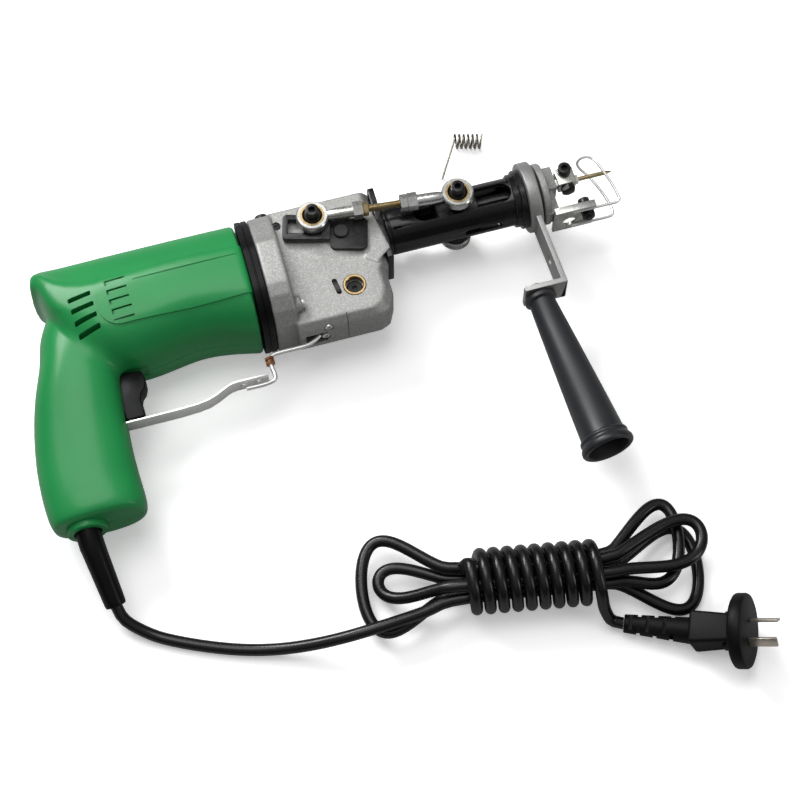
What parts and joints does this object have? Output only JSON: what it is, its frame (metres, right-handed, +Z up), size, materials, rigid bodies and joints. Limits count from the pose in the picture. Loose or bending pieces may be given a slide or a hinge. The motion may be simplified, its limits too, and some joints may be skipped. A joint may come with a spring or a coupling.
{
  "type": "handheld tufting machine",
  "caption": "Handheld electric tufting machine lying on its side: green pistol body, cast gearbox, crank and rods, slotted barrel, needle, wire foot, side handle and wound mains cord.",
  "frame": {"origin": "centre of the machine's own footprint on the table, without its lead, hank and plug", "axes": "+X along the barrel towards the needle, +Y towards the top edge of the pistol body, +Z up off the table out of the machine's near side"},
  "size_m": [0.4064, 0.4102, 0.075],
  "materials": {
    "black_plastic": "satin black",
    "black_steel": "black oxide",
    "brass": "satin brass",
    "bright_steel": "bright",
    "cast_aluminium": "blasted casting",
    "copper": "copper",
    "green_plastic": "gloss green moulding",
    "grey_handle": "satin dark grey",
    "lamination": "stacked sheet",
    "yellow_zinc": "yellow zinc plated",
    "zinc_steel": "zinc plated"
  },
  "bodies": {
    "machine": {"housing_near_shell": "green_plastic", "housing_far_shell": "green_plastic", "end_collar": "black_plastic", "motor_stator": "lamination", "rear_bearing": "bright_steel", "front_bearing": "bright_steel", "brush_holder_near": "brass", "brush_holder_far": "brass", "gearbox_case": "cast_aluminium", "idler_bush": "brass", "gearbox_bottom_cover": "cast_aluminium", "barrel_flange": "black_steel", "barrel": "black_steel", "nose_collar": "black_steel", "nose_hub": "cast_aluminium", "foot_bracket": "zinc_steel", "foot_bolt": "black_steel", "presser_foot_wire": "bright_steel", "switch_block": "black_plastic", "trigger_guard": "bright_steel", "guard_wire": "bright_steel", "cord_sleeve": "black_plastic", "cord_hank": "black_plastic", "cord_lead": "black_plastic", "plug_body": "black_plastic", "plug_pin_near": "brass", "plug_pin_far": "brass", "spare_spring": "black_steel"},
    "motor": {"motor_shaft": "bright_steel", "armature": "copper", "commutator": "copper", "cooling_fan": "black_plastic"},
    "idler": {"idler_shaft": "bright_steel", "worm_wheel": "brass", "idler_gear": "bright_steel"},
    "crank": {"crank_gear": "bright_steel", "crankshaft": "bright_steel", "crank_near": "black_steel", "crank_far": "black_steel"},
    "crosshead": {"crosshead": "zinc_steel", "front_ball_bolt_near": "black_steel", "front_ball_bolt_far": "black_steel", "needle_bar": "bright_steel", "needle": "brass", "needle_clamp": "zinc_steel", "needle_clamp_bolt": "black_steel"},
    "rods": {"rear_rod_end_near": "zinc_steel", "front_rod_end_near": "zinc_steel", "rod_stud_near": "yellow_zinc", "jam_nut_near": "zinc_steel", "rear_ball_bolt_near": "black_steel", "rear_rod_end_far": "zinc_steel", "front_rod_end_far": "zinc_steel", "rod_stud_far": "yellow_zinc", "jam_nut_far": "zinc_steel", "rear_ball_bolt_far": "black_steel"},
    "handle": {"handle_bracket": "cast_aluminium", "side_handle": "grey_handle", "handle_bolt": "zinc_steel"},
    "trigger": {"trigger": "black_plastic"}
  },
  "joints": [
    {"name": "motor_spin", "type": "hinge", "parent": "machine", "child": "motor", "pos_m": [0.01763, 0.04185, 0.0375], "axis": [1, 0, 0], "range_deg": [0, 1260]},
    {"name": "idler_turn", "type": "hinge", "parent": "machine", "child": "idler", "pos_m": [0.01663, 0.01935, 0.0375], "axis": [0, 0, 1], "range_deg": [-181, 1]},
    {"name": "crank_turn", "type": "hinge", "parent": "machine", "child": "crank", "pos_m": [0.01763, 0.05634, 0.0375], "axis": [0, 0, 1], "range_deg": [-1, 181]},
    {"name": "crosshead_slide", "type": "slide", "parent": "machine", "child": "crosshead", "axis": [1, 0, 0], "range_m": [-0.0003, 0.0306]},
    {"name": "rod_swing", "type": "hinge", "parent": "crosshead", "child": "rods", "pos_m": [0.09503, 0.05935, 0.0375], "axis": [0, 0, 1], "range_deg": [-0.3, 13.98]},
    {"name": "trigger_pull", "type": "hinge", "parent": "machine", "child": "trigger", "pos_m": [-0.12767, -0.00605, 0.0375], "axis": [0, 0, -1], "range_deg": [0, 9], "stiffness_Nm_per_rad": 0.5, "springref_deg": -5.73},
    {"name": "handle_swivel", "type": "hinge", "parent": "machine", "child": "handle", "pos_m": [0.13913, 0.05935, 0.0375], "axis": [1, 0, 0], "range_deg": [-100, 100]}
  ],
  "couplings": [
    {"joint": "idler_turn", "follows": "motor_spin", "ratio": -0.14286},
    {"joint": "crank_turn", "follows": "motor_spin", "ratio": 0.14286},
    {"joint": "crosshead_slide", "follows": "motor_spin", "m_per_rad": 0.0013778},
    {"joint": "rod_swing", "follows": "motor_spin", "ratio": 0.010857}
  ]
}
